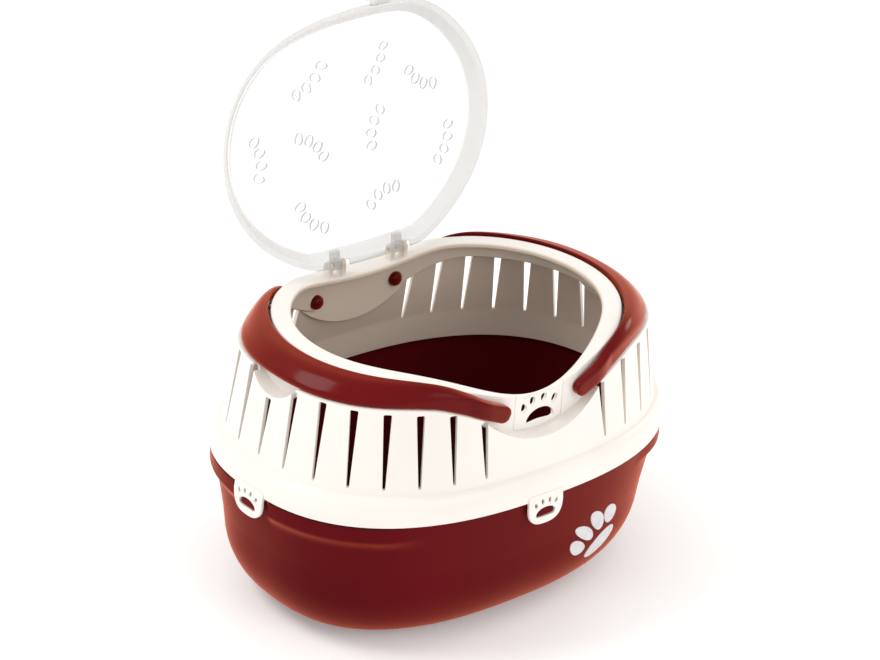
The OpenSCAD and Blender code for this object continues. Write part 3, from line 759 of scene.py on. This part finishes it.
# hinge lugs, each a plate rounded at its head
lug_parts = []
for s_ in (-1, 1):
    for x_ in (18.3, 28.6):
        x0 = x_ if s_ > 0 else -x_ - 3.1
        line = [(HINGE_Y + 3.2 * math.cos(a), HINGE_Z + 3.2 * math.sin(a)) for a in np.linspace(0, math.pi, 19)]
        line += [(HINGE_Y - 3.2, HINGE_Z - 9.5), (HINGE_Y + 3.2, HINGE_Z - 9.5)]
        lug_parts.append(prism(line, x0, x0 + 3.1, lambda v: np.column_stack([v[:, 2], v[:, 0], v[:, 1]])))
lugs = join("hinge_lugs", lug_parts)
bevel(lugs, 0.35, 50, 2)
settle(lugs, "body", WHITE, ["upper_shell"])

# ---------------------------------------------------------------- latch
paw_cut = []
face_ = lambda v: np.column_stack([v[:, 0], -v[:, 2], v[:, 1]])
paw_cut.append(prism(bean(22, 8.6, 1.3, 0, 6) + [2, 139.6], 79, 95, face_))
for x_, z_, a_, k_ in ((-11.8, 148.2, 20, 0.35), (-5, 151.1, 10, -0.1), (3.8, 151, -6, -0.4), (12.6, 148.5, -16, -0.1)):
    paw_cut.append(prism(turn(egg(4.4, 6.6, k_, 10), a_) + [x_, z_], 79, 95, face_))
pc = join("paw", paw_cut)
bm_ = bmesh.new()
bm_.from_mesh(pc.data)
bmesh.ops.recalc_face_normals(bm_, faces=bm_.faces)
bm_.to_mesh(pc.data)
bm_.free()
boolean(latch, pc)
settle(latch, "latch", WHITE, ["front_latch"])
bz = RIM_Z - FRONT_DIP - 1.3
rows_ = []
for x_, r_ in ((-12, 0.2), (-11.7, 0.5), (-11.2, 0.7), (11.2, 0.7), (11.7, 0.5), (12, 0.2)):
    a_ = np.linspace(0, 2 * math.pi, 24, endpoint=False)
    rows_.append(np.column_stack([np.full(24, x_), -PLATE[-1] + r_ * np.cos(a_), bz + r_ * np.sin(a_)]))
bead = make("latch_bead", *loft(rows_, bottom=(-12, -PLATE[-1], bz), top=(12, -PLATE[-1], bz)))
settle(bead, "latch", WHITE, ["front_latch"])


# ---------------------------------------------------------------- body clips
def plate_with_holes(outline, holes, thick, rim, cuts_u, name):
    """Flat plate in X, Z with rounded edges, from a filled curve, sliced so that it can bend."""
    cu = bpy.data.curves.new(name, "CURVE")
    cu.dimensions, cu.fill_mode = "2D", "BOTH"
    cu.extrude = (thick / 2 - rim) * 0.001
    cu.bevel_depth = rim * 0.001
    cu.bevel_resolution = 2
    cu.offset = -rim * 0.001
    for p in [outline] + holes:
        sp = cu.splines.new("POLY")
        sp.points.add(len(p) - 1)
        for q, (x, y) in zip(sp.points, p):
            q.co = (x * 0.001, y * 0.001, 0, 1)
        sp.use_cyclic_u = True
    ob = bpy.data.objects.new(name, cu)
    COL.objects.link(ob)
    dg = bpy.context.evaluated_depsgraph_get()
    me = bpy.data.meshes.new_from_object(ob.evaluated_get(dg))
    bpy.data.objects.remove(ob, do_unlink=True)
    bpy.data.curves.remove(cu)
    bm = bmesh.new()
    bm.from_mesh(me)
    bmesh.ops.remove_doubles(bm, verts=bm.verts, dist=1e-6)
    for u in cuts_u:
        bmesh.ops.bisect_plane(bm, geom=bm.verts[:] + bm.edges[:] + bm.faces[:], dist=1e-7,
                               plane_co=(u * 0.001, 0, 0), plane_no=(1, 0, 0))
    for u in (-12, -8, -4, 0):
        bmesh.ops.bisect_plane(bm, geom=bm.verts[:] + bm.edges[:] + bm.faces[:], dist=1e-7,
                               plane_co=(0, u * 0.001, 0), plane_no=(0, 1, 0))
    bm.to_mesh(me)
    bm.free()
    ob = bpy.data.objects.new(name, me)
    COL.objects.link(ob)
    return ob


def clip_line():
    t = np.radians(np.arange(0, 181, 6))
    c, s = np.cos(t), np.sin(t)
    p = np.column_stack([-(CLIP_W / 2) * np.sign(c) * np.abs(c) ** (2 / 2.7),
                         -3 - (CLIP_DROP - 3) * np.abs(s) ** (2 / 2.7)])
    return np.vstack([p, [[CLIP_W / 2, 4], [-CLIP_W / 2, 4]]])


def build_clip(side):
    holes = [bean(15, 6.2, 0.5) + [0, -9]]
    for x, z, a in ((-8, -2.9, 22), (-2.8, -1.4, 8), (2.8, -1.4, -8), (8, -2.9, -22)):
        holes.append(turn(egg(2.0, 3.4, 0.25), a) + [x, z])
    ob = plate_with_holes(clip_line(), holes, 2.2, 0.45, np.arange(-12, 12.1, 2.0), "body_clip_" + side)
    n = len(ob.data.vertices)
    co = np.empty(n * 3)
    ob.data.vertices.foreach_get("co", co)
    co = co.reshape(-1, 3) * 1000
    u, z, d = co[:, 0], co[:, 1] + ZS, co[:, 2]          # d -1.1 to 1.1 across the plate
    ang, off, dist = SIDES[side]
    a, b = (A, B) if side in ("front", "back") else (B, A)
    ins = -0.9 + (1.1 - d) + sstep((z - ZS + 2.5) / 5.5) * 0.95
    x = u - off
    y = -(b - ins) * (1 - np.minimum(np.abs(x) / (a - ins), 1) ** 2.45) ** (1 / 2.45)
    r = math.radians(ang)
    co = np.column_stack([x * math.cos(r) - y * math.sin(r), x * math.sin(r) + y * math.cos(r), z])
    ob.data.vertices.foreach_set("co", (co * 0.001).ravel())
    ob.data.update()
    return settle(ob, side + "_clip", WHITE, ["clip_" + side], 40)


for s_ in SIDES:
    build_clip(s_)


# ---------------------------------------------------------------- lid
LID_A, LID_B, LID_N, GAP, LW, RISE = A - 44.9, B - 21.2, 2.03, 0.5, 1.7, 8.6
LID_MID = RIM_Z + 5.5


def lid_ring(ins, dz):
    r = orad(LID_A - ins, LID_B - ins, LID_N, TH)
    y = r * np.sin(TH)
    lim = HINGE_Y - ins
    # rounded run into the straight rear edge
    y = np.where(y > lim - 3, lim - 3 + 3 * np.tanh((y - lim + 3) / 3), y)
    return xyz(r * np.cos(TH), y, rim_top(TH) + dz)


def crown(s, dz):
    p = lid_ring(10.5, 0)
    ze = rim_top(TH) + GAP + RISE + 1.7
    return xyz(p[:, 0] * s, p[:, 1] * s, LID_MID + (ze - LID_MID) * s * s + 1.5 * (1 - s * s) + dz)


def opened(v):
    a = math.radians(-LID_OPEN)
    v = np.asarray(v, float) - [0, HINGE_Y, HINGE_Z]
    y, z = v[:, 1] * math.cos(a) - v[:, 2] * math.sin(a), v[:, 1] * math.sin(a) + v[:, 2] * math.cos(a)
    return np.column_stack([v[:, 0], y + HINGE_Y, z + HINGE_Z])


def build_lid():
    g, w, h = GAP, LW, RISE
    ss = [0.1, 0.22, 0.36, 0.5, 0.64, 0.76, 0.86, 0.94]
    ctrl = [(crown(s, -w), 0) for s in ss]
    ctrl += [(lid_ring(11.4, g + h + 1.75 - w), 1.0), (lid_ring(9.2, g + h - 0.9), 1.6), (lid_ring(6.2, g + 2.4), 0),
             (lid_ring(4.6, g), 0.5), (lid_ring(0, g), 0.4), (lid_ring(0, g + w), 0.6), (lid_ring(3.6, g + w), 0.9),
             (lid_ring(4.8, g + 3.8), 0), (lid_ring(7.6, g + h), 1.8), (lid_ring(10.0, g + h + 1.65), 1.6)]
    ctrl += [(crown(s, 0), 0) for s in ss[::-1]]
    rows = fillet([c for c, _ in ctrl], [r for _, r in ctrl], 3)
    return make("lid_panel", *loft(rows, bottom=(0, 0, LID_MID + 1.5 - w), top=(0, 0, LID_MID + 1.5)))


PAWS = [[-33.5, -38.6, 46], [17.5, -40.8, 26], [54.9, -22.2, 122], [14.9, 0, 200],
        [74.8, 23.3, 24], [-33, 1.5, -51], [-73, 2.8, -5], [-37.8, 49.2, 135], [19.4, 43.7, -107]]


def build_vents():
    parts = []
    for px, py, pa in PAWS:
        for q in (-30, -10, 10, 30):
            e = egg(5.4, 7.6, 0.2, 15) + [0, 23.5]
            e = turn(e, q) + [0, -22.4]
            e = turn(e, pa - 90) + [px, py]
            parts.append(prism(e, RIM_Z - 22, RIM_Z + 25))
    return join("vents", parts)


lid = build_lid()
boolean(lid, build_vents())
# room for the shell's lugs beside each knuckle
nb, nc = [], []
for s_ in (-1, 1):
    for x_ in (17.9, 28.2):
        x0 = x_ if s_ > 0 else -x_ - 3.9
        nb.append(box((x0, HINGE_Y - 4, RIM_Z - 12), (x0 + 3.9, HINGE_Y + 4, RIM_Z + 18)))
    nc.append(box((s_ * 25 - 3.6, HINGE_Y - 3.7, RIM_Z - 12), (s_ * 25 + 3.6, HINGE_Y + 2.3, RIM_Z - 2.8)))
boolean(lid, join("nb", nb))
boolean(lid, join("nc", nc))
v_ = np.empty(len(lid.data.vertices) * 3)
lid.data.vertices.foreach_get("co", v_)
lid.data.vertices.foreach_set("co", (opened(v_.reshape(-1, 3) * 1000) * 0.001).ravel())
lid.data.update()
settle(lid, "lid", CLEAR, ["lid"], 30)
# painted grey: the flange and flank, and the walls of the vents, get greyer copies of the clear plastic than the panel,
# standing in for the reflections seen where clear plastic is edge on
lid.data.materials.append(PAINTED_FLANK_GREY)
lid.data.materials.append(PAINTED_VENT_GREY)
a_ = math.radians(LID_OPEN)
for p_ in lid.data.polygons:
    c_ = np.array(p_.center) * 1000 - [0, HINGE_Y, HINGE_Z]
    x_, y_ = c_[0], c_[1] * math.cos(a_) - c_[2] * math.sin(a_) + HINGE_Y
    nz_ = p_.normal.y * math.sin(a_) + p_.normal.z * math.cos(a_)
    t_ = math.atan2(y_, x_)
    if math.hypot(x_, y_) > float(orad(LID_A - 9.6, LID_B - 9.6, LID_N, t_)) or y_ > HINGE_Y - 10:
        p_.material_index = 1
    elif abs(nz_) < 0.35:
        p_.material_index = 2


def ring_solid(profile, axis0, axis1, n=40):
    """Hollow lathe about the line axis0 to axis1 from (radius, distance) points, mm."""
    p, q = np.array(axis0, float), np.array(axis1, float)
    d = (q - p) / np.linalg.norm(q - p)
    u = np.cross(d, [0, 0, 1.0] if abs(d[2]) < 0.9 else [1.0, 0, 0])
    u /= np.linalg.norm(u)
    w = np.cross(d, u)
    t = np.arange(n) * 2 * math.pi / n
    return [p + d * h + r * (np.cos(t)[:, None] * u + np.sin(t)[:, None] * w) for r, h in profile]


kn = []
for s_ in (-1, 1):
    x0 = s_ * 25 - 3.2
    prof = [(1.6, 0), (3.1, 0), (3.4, 0.3), (3.4, 6.1), (3.1, 6.4), (1.6, 6.4)]
    kn.append(loft(ring_solid(prof, (x0, HINGE_Y, HINGE_Z), (x0 + 6.4, HINGE_Y, HINGE_Z)), wrap=True))
    kn.append(box((x0 + 0.05, HINGE_Y - 9.2, HINGE_Z - 1.4), (x0 + 6.35, HINGE_Y - 2.2, HINGE_Z + 1.6)))
knuckles = join("lid_knuckles", [(opened(v), f) for v, f in kn])
settle(knuckles, "lid", CLEAR_THICK, ["lid"], 50)

for s_, side_ in ((-1, "left"), (1, "right")):
    x0 = s_ * 25 - 6.7
    prof = [(1.2, 0), (1.5, 0.3), (1.5, 13.1), (1.2, 13.4)]
    rr = ring_solid(prof, (x0, HINGE_Y, HINGE_Z), (x0 + 13.4, HINGE_Y, HINGE_Z))
    pin = make("hinge_pin_" + side_, *loft(rr, bottom=(x0, HINGE_Y, HINGE_Z), top=(x0 + 13.4, HINGE_Y, HINGE_Z)))
    settle(pin, "body", WHITE, ["lid_hinge_pin_" + side_], 50)

# catch loop at the front edge of the lid
zf = RIM_Z - FRONT_DIP
cx = 5.0
yb = -PLATE[-1] - 3.4
loop_line = [(yb, zf - 6.5), (yb + 2.3, zf - 6.5), (yb + 2.9, zf - 4.0), (yb + 2.9, zf - 2.5), (yb + 2.0, zf - 2.5),
             (yb + 2.0, zf + 2.6), (yb, zf + 2.6)]
tab_z = zf + GAP + LW + 1.2
tab_line = [(yb, zf), (yb + 2.0, zf), (yb + 2.0, tab_z), (yb + 6.2, tab_z), (yb + 6.2, tab_z + 1.7),
            (yb + 0.8, tab_z + 1.7), (yb, tab_z + 0.9)]
yz_ = lambda v: np.column_stack([v[:, 2], v[:, 0], v[:, 1]])
catch = make("catch_loop", *prism(loop_line, cx - 12, cx + 12, yz_))
boolean(catch, make("tab", *prism(tab_line, cx - 7, cx + 7, yz_)), "UNION")
boolean(catch, make("win", *box((cx - 4, yb - 2, zf - 3.4), (cx + 4, yb + 2.6, zf + 0.8))))
bevel(catch, 0.3, 50, 2)
v_ = np.empty(len(catch.data.vertices) * 3)
catch.data.vertices.foreach_get("co", v_)
catch.data.vertices.foreach_set("co", (opened(v_.reshape(-1, 3) * 1000) * 0.001).ravel())
catch.data.update()
settle(catch, "lid", CLEAR_THICK, ["lid_catch"], 50)


# ---------------------------------------------------------------- handles
SLOPE = math.radians(22.8)
# the inner face stands off the rim so that the handle can swing up past it
CLR_F = ([0, 56, 70, 100, 160], [0, 0, 0.2, 0.5, 0.5])
CLR_B = ([0, 50, 57, 62, 70, 78, 90, 100, 160], [0, 0, 1.2, 1.7, 1.6, 1.0, 0.6, 0.5, 0.5])


def handle_rows():
    """Sections of the left handle from its rear end to its front end."""
    M = 170
    tb = -math.atan2(PLATE[1] + 0.4, PIVOT_X + 7.5)
    tf = math.atan2(PLATE[-1] + 0.4, PIVOT_X + 7.5)
    t = np.linspace(0, 1, M + 1)
    q = 2 * (t - 0.05 * np.sin(2 * math.pi * t)) - 1
    ths = np.where(q < 0, -q * tb, q * tf)
    pl = np.where(ths < 0, PLATE[1], PLATE[-1])
    bt = np.where(ths < 0, BAR_T[1], BAR_T[-1])
    ro0 = orad(A - 16.2, B - 14, 2.4, ths)
    x = ro0 * np.cos(ths)
    k = sstep((np.abs(x) - 38) / 20)
    s = np.maximum(np.abs(np.sin(ths)), 0.3)
    rim = np.linalg.norm(rim_out(-ths, 1.35, 0)[:, :2], axis=1)
    ri = np.maximum((pl + 0.4) / s, rim) * (1 - k) + rim * k
    ri = ri + np.where(ths < 0, np.interp(np.abs(x), *CLR_B), np.interp(np.abs(x), *CLR_F)) * sstep((np.abs(x) - 44) / 8)
    ro = np.maximum((pl + 0.25 + bt) / s * (1 - k) + ro0 * k, ri + bt - 0.3)
    zl, zt = low_z(x), high_z(x)
    Wd, H = ro - ri, zt - zl
    ks = sstep((np.abs(x) - 42) / 70)
    # section corners: end shape and bar shape, then blended
    end = [(0.0, 1.0), (0.52, 0.87), (1.0, 0.20), (0.97, 0.0), (0.74, 0.02), (0.34, 0.52), (0.0, 0.68)]
    bar = [(0.0, 1.0), (0.5, 1.0), (1.0, 1.0), (1.0, 0.0), (0.6, 0.0), (0.3, 0.0), (0.0, 0.0)]
    rad_e = [1.0, 7.0, 3.0, 0.8, 1.5, 2.5, 0.9]
    rad_b = [1.6, 0.3, 2.9, 2.9, 0.3, 0.3, 1.6]

    def flat(i):
        pts, rad = [], []
        w, h = Wd[i], H[i]
        for (eu, ev), (bu, bv), re_, rb_ in zip(end, bar, rad_e, rad_b):
            pts.append(np.array([[w * (bu * (1 - ks[i]) + eu * ks[i]), h * (bv * (1 - ks[i]) + ev * ks[i])]]))
            rad.append(rb_ * (1 - ks[i]) + re_ * ks[i])
        return fillet(pts, rad, 5, closed=True)[:, 0]

    secs = []
    for i, th in enumerate(ths):
        c = flat(i)
        secs.append(np.column_stack([-(ri[i] + c[:, 0]) * math.cos(th), -(ri[i] + c[:, 0]) * math.sin(th), zl[i] + c[:, 1]]))

    # round ends about the pivots, square to the sloping bar
    def cap(i, sgn):
        c = flat(i)
        u, v = c[:, 0] / Wd[i], c[:, 1] / H[i] - 0.5
        out = []
        r = BAR_H / 2
        th_ = BAR_T[sgn] - 0.15
        for a in (0, 15, 30, 42, 52, 61, 69, 76, 82, 87):
            f, d = math.cos(math.radians(a)), math.sin(math.radians(a))
            n = 1 - 0.42 * max(0.0, (a - 30) / 57) ** 2.2
            y = PLATE[sgn] + 0.4 + th_ * (0.5 + (u - 0.5) * n)
            h = 2 * r * f * v
            out.append(np.column_stack([-PIVOT_X + d * r * math.cos(SLOPE) + h * math.sin(SLOPE), sgn * y,
                                        PIVOT_Z - d * r * math.sin(SLOPE) + h * math.cos(SLOPE)]))
        return out
    return cap(0, 1)[::-1] + secs + cap(M, -1)


def build_handle(side):
    rows = handle_rows()
    v, f = loft(rows, bottom=rows[0].mean(0), top=rows[-1].mean(0))
    if side > 0:
        v = v * [-1, 1, 1]
    ob = make("carry_handle_" + ("left" if side < 0 else "right"), v, f)
    return settle(ob, ("left" if side < 0 else "right") + "_handle", HAND,
                  ["handle_left" if side < 0 else "handle_right"], 50)


for s_ in (-1, 1):
    build_handle(s_)

for s_, a_ in ((-1, "left"), (1, "right")):
    for t_, b_ in ((-1, "front"), (1, "rear")):
        y0 = t_ * (PLATE[t_] + 3.1)
        prof = [(2.6, 0), (2.95, 0.4), (2.95, 5.55), (4.5, 5.6), (4.8, 5.9), (4.8, 6.6), (4.68, 7.4),
                (4.35, 8.2), (3.75, 8.9), (2.9, 9.4), (1.9, 9.68), (0.9, 9.78)]
        rr = ring_solid(prof, (s_ * PIVOT_X, y0, PIVOT_Z), (s_ * PIVOT_X, 0, PIVOT_Z), 48)
        pin = make(f"snap_pin_{a_}_{b_}", *loft(rr, bottom=(s_ * PIVOT_X, y0, PIVOT_Z),
                                                top=(s_ * PIVOT_X, y0 - t_ * 9.8, PIVOT_Z)))
        settle(pin, a_ + "_handle", HAND, [f"handle_pin_{a_}_{b_}"], 40)

# ---------------------------------------------------------------- badge
BADGE = (Matrix.Translation((58.5, -91.5, 40)) @ Matrix.Rotation(math.radians(14), 4, "Z")
         @ Matrix.Rotation(math.radians(76), 4, "X") @ Matrix.Rotation(math.radians(-27), 4, "Z"))


def on_tub(p, lift):
    """Drops a point of the badge's own plane onto the tub, then lifts it off along the normal."""
    o = BADGE @ Vector((p[0], p[1], 40))
    d = (BADGE.to_3x3() @ Vector((0, 0, -1))).normalized()
    hit, nor, _, _ = tub_bvh.ray_cast(o * 0.001, d)
    if nor.dot(d) > 0:
        nor = -nor
    return np.array(hit) * 1000 + np.array(nor) * lift


def film(name, shapes, node, thick=0.6):
    parts = []
    for c, poly in shapes:
        c = np.array(c, float)
        rows = []
        for f, lift in ((1.0, -0.3), (1.0, thick - 0.25), (0.985, thick - 0.08), (0.95, thick), (0.75, thick), (0.5, thick), (0.25, thick)):
            rows.append(np.array([on_tub(c + (q - c) * f, lift) for q in poly]))
        top = on_tub(c, thick)
        bot = on_tub(c, -0.3)
        under = [np.array([on_tub(c + (q - c) * f, -0.3) for q in poly]) for f in (0.4, 0.7)]
        parts.append(loft(under + rows, bottom=bot, top=top))
    ob = join(name, parts)
    return settle(ob, "body", FILM, [node], 50)


def leaf(c, d, e, k):
    """Oval from its middle and its two diameters, narrower towards the end of the long one."""
    t = np.radians(np.arange(0, 360, 8))
    return (np.array(c, float) + np.outer(np.cos(t), d) / 2 + np.outer(np.sin(t) * (1 - k * np.cos(t)), e) / 2)[::-1]


film("badge_pad_film", [((3, -3.3), leaf((3, -3.3), (15.4, 22.7), (13, -2.6), 0))], "badge_pad")
toes = []
for c_, d_, e_ in (((-20.8, -9.7), (13.7, 3.8), (9.1, -8.2)), ((-20.5, -0.2), (17, -7.4), (15.4, 3.8)),
                   ((-13.4, 8.9), (12.8, -11.1), (15.3, 2.1)), ((-1.4, 14.6), (4.7, -11.9), (14.7, 1.5))):
    toes.append((c_, leaf(c_, d_, e_, 0.2)))
film("badge_toe_film", toes, "badge_toes")

# ---------------------------------------------------------------- floor, light, camera
fl = make("floor", [(-4000, -4000, -0.6), (4000, -4000, -0.6), (4000, 4000, -0.6), (-4000, 4000, -0.6)], [[0, 1, 2, 3]])
mf, nf, pf = material("floor_pale")
fn = noise(nf, 3, 2)
cf = ramp(nf, fn.outputs["Fac"], [(0.3, (0.90, 0.895, 0.885)), (0.7, (0.92, 0.915, 0.905))])
nf.links.new(cf.outputs["Color"], pf.inputs["Base Color"])
pf.inputs["Roughness"].default_value = 0.7
pf.inputs["Emission Color"].default_value = (1, 1, 1, 1)
pf.inputs["Emission Strength"].default_value = 0.19
pf.inputs["Specular IOR Level"].default_value = 0.2
fl.data.materials.append(mf)

world = bpy.data.worlds.new("studio")
bpy.context.scene.world = world
world.use_nodes = True
bg = world.node_tree.nodes["Background"]
bg.inputs["Color"].default_value = (1.0, 0.995, 0.985, 1)
bg.inputs["Strength"].default_value = 0.85


def area(name, loc, aim, size, power, color=(1, 1, 1)):
    li = bpy.data.lights.new(name, "AREA")
    li.shape, li.size, li.energy, li.color = "DISK", size, power, color
    ob = bpy.data.objects.new(name, li)
    COL.objects.link(ob)
    ob.location = loc
    ob.rotation_euler = (Vector(aim) - Vector(loc)).to_track_quat("-Z", "Y").to_euler()
    return ob


area("key", (-0.9, 0.5, 1.3), (0, 0, 0.1), 0.7, 9.0, (1, 0.985, 0.96))
area("fill", (0.2, -1.6, 0.9), (0, 0, 0.1), 1.0, 5.0, (1, 0.97, 0.94))
area("side", (1.3, -0.2, 0.7), (0, 0, 0.1), 0.5, 4.0, (1, 0.95, 0.9))

az, el, roll, fpx = math.radians(-42.02), math.radians(26.35), math.radians(4.11), 3121.73
fwd = Vector((-math.sin(az) * math.cos(el), math.cos(az) * math.cos(el), -math.sin(el)))
rt = Vector((math.cos(az), math.sin(az), 0))
up = rt.cross(fwd)
rx = rt * math.cos(roll) + up * math.sin(roll)
ux = -rt * math.sin(roll) + up * math.cos(roll)
cam_data = bpy.data.cameras.new("camera")
cam_data.sensor_width = 36.0
cam_data.sensor_fit = "HORIZONTAL"
cam_data.lens = fpx * 36.0 / 880.0
cam_data.clip_end = 50
cam = bpy.data.objects.new("camera", cam_data)
COL.objects.link(cam)
m4 = Matrix(((rx.x, ux.x, -fwd.x, -1.155166), (rx.y, ux.y, -fwd.y, -1.276432), (rx.z, ux.z, -fwd.z, 1.013010), (0, 0, 0, 1)))
cam.matrix_world = m4
bpy.context.scene.camera = cam
bpy.context.scene.view_settings.view_transform = "Standard"
bpy.context.scene.view_settings.look = "None"
